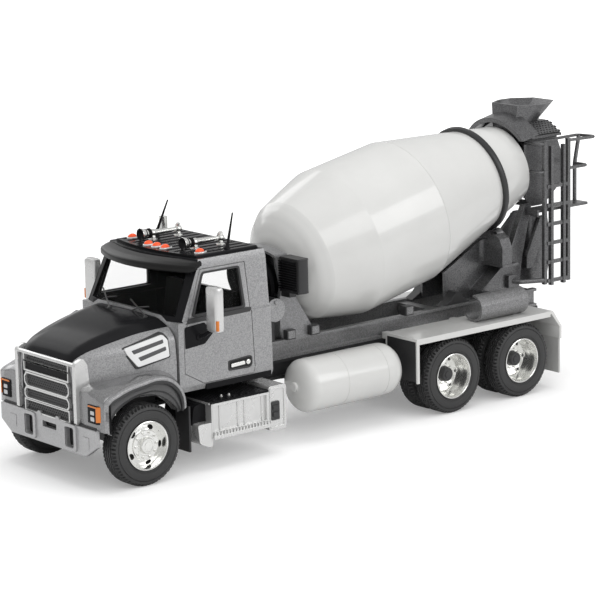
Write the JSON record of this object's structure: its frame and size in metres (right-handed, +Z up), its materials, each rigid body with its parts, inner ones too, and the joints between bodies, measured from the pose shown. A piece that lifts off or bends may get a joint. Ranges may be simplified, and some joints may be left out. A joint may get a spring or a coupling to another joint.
{
  "type": "scale model concrete mixer truck",
  "caption": "Scale model of a conventional-cab concrete mixer truck with a tilting hood, rolling wheels, a turning tilted drum, a charge hopper, a side ladder and a folding discharge chute.",
  "frame": {"origin": "on the ground under the middle of the model's overall box", "axes": "+Z up, the front of the truck towards -Y, its left (driver's) side towards +X"},
  "size_m": [0.0582, 0.1831, 0.0792],
  "materials": {
    "cab_silver": "metallic flake, satin",
    "gloss_black": "gloss",
    "gloss_white": "gloss",
    "mixer_silver": "metallic flake, satin",
    "mixer_graphite": "metallic, satin",
    "chassis_black": "satin",
    "engine_grey": "rough cast",
    "bumper_silver": "metallic, satin",
    "bright_chrome": "polished",
    "black_plastic": "matt",
    "cab_trim": "matt",
    "black_rubber": "matt",
    "tyre_rubber": "matt with tread",
    "clear_glass": "clear",
    "lamp_lens": "ribbed clear",
    "amber_lens": "translucent, gloss",
    "red_lens": "translucent, gloss"
  },
  "bodies": {
    "truck": {"chassis_frame": "chassis_black", "tank_saddles": "chassis_black", "front_axle_beam": "chassis_black", "rear_suspension": "chassis_black", "engine_block": "engine_grey", "front_bumper": "bumper_silver", "cab_shell": "cab_silver", "left_door": "cab_silver", "right_door": "cab_silver", "cab_roof": "gloss_black", "windshield": "clear_glass", "cab_windows": "clear_glass", "seats": "cab_trim", "dashboard": "cab_trim", "steering_wheel": "cab_trim", "sun_visor": "gloss_black", "mirrors": "cab_silver", "air_horns": "bright_chrome", "roof_lights": "amber_lens", "antennas": "gloss_black", "exhaust_stack": "bright_chrome", "step_box": "bright_chrome", "battery_box": "black_plastic", "side_locker": "bright_chrome", "side_tank": "gloss_white", "fuel_tank": "bright_chrome", "rear_fenders": "gloss_white", "mud_flaps": "black_rubber", "stored_chute": "mixer_silver", "tail_lamps": "red_lens", "mixer_subframe": "mixer_graphite", "front_pedestal": "mixer_silver", "drum_drive": "mixer_silver", "oil_reservoir": "mixer_silver", "oil_cooler": "black_plastic", "rear_pedestal": "mixer_graphite", "drum_rollers": "mixer_graphite", "roller_guards": "mixer_graphite", "charge_hopper": "mixer_graphite", "mouth_shroud": "mixer_graphite", "collector": "mixer_graphite", "rear_platform": "mixer_graphite", "platform_rails": "mixer_graphite", "ladder": "mixer_graphite"},
    "hood": {"hood": "cab_silver", "fender_flares": "black_plastic", "headlamps": "lamp_lens", "grille_surround": "bumper_silver", "grille_mesh": "black_plastic"},
    "front_axle": {"front_wheels": "bright_chrome", "left_front_tyre": "tyre_rubber", "right_front_tyre": "tyre_rubber"},
    "drive_axle_1": {"drive_1_wheels": "bright_chrome", "drive_1_tyres": "tyre_rubber"},
    "drive_axle_2": {"drive_2_wheels": "bright_chrome", "drive_2_tyres": "tyre_rubber"},
    "drum": {"drum": "gloss_white", "drum_track_ring": "mixer_graphite"},
    "chute_swivel": {"chute_swivel": "mixer_graphite"},
    "main_chute": {"main_chute": "mixer_graphite"}
  },
  "joints": [
    {"name": "hood_tilt", "type": "hinge", "parent": "truck", "child": "hood", "pos_m": [0, -0.0914, 0.017], "axis": [1, 0, 0], "range_deg": [0, 50]},
    {"name": "front_axle_roll", "type": "hinge", "parent": "truck", "child": "front_axle", "pos_m": [0, -0.0774, 0.0105], "axis": [1, 0, 0], "continuous": true},
    {"name": "drive_axle_1_roll", "type": "hinge", "parent": "truck", "child": "drive_axle_1", "pos_m": [0, 0.0269, 0.0105], "axis": [1, 0, 0], "continuous": true},
    {"name": "drive_axle_2_roll", "type": "hinge", "parent": "truck", "child": "drive_axle_2", "pos_m": [0, 0.053, 0.0105], "axis": [1, 0, 0], "continuous": true},
    {"name": "drum_turn", "type": "hinge", "parent": "truck", "child": "drum", "pos_m": [0, -0.0186, 0.0427], "axis": [0, 0.9765, 0.2154], "continuous": true},
    {"name": "chute_swing", "type": "hinge", "parent": "truck", "child": "chute_swivel", "pos_m": [0, 0.072, 0.032], "axis": [0, 0, 1], "range_deg": [-30, 30]},
    {"name": "chute_lift", "type": "hinge", "parent": "chute_swivel", "child": "main_chute", "pos_m": [0, 0.0792, 0.0445], "axis": [1, 0, 0], "range_deg": [0, 50]}
  ]
}
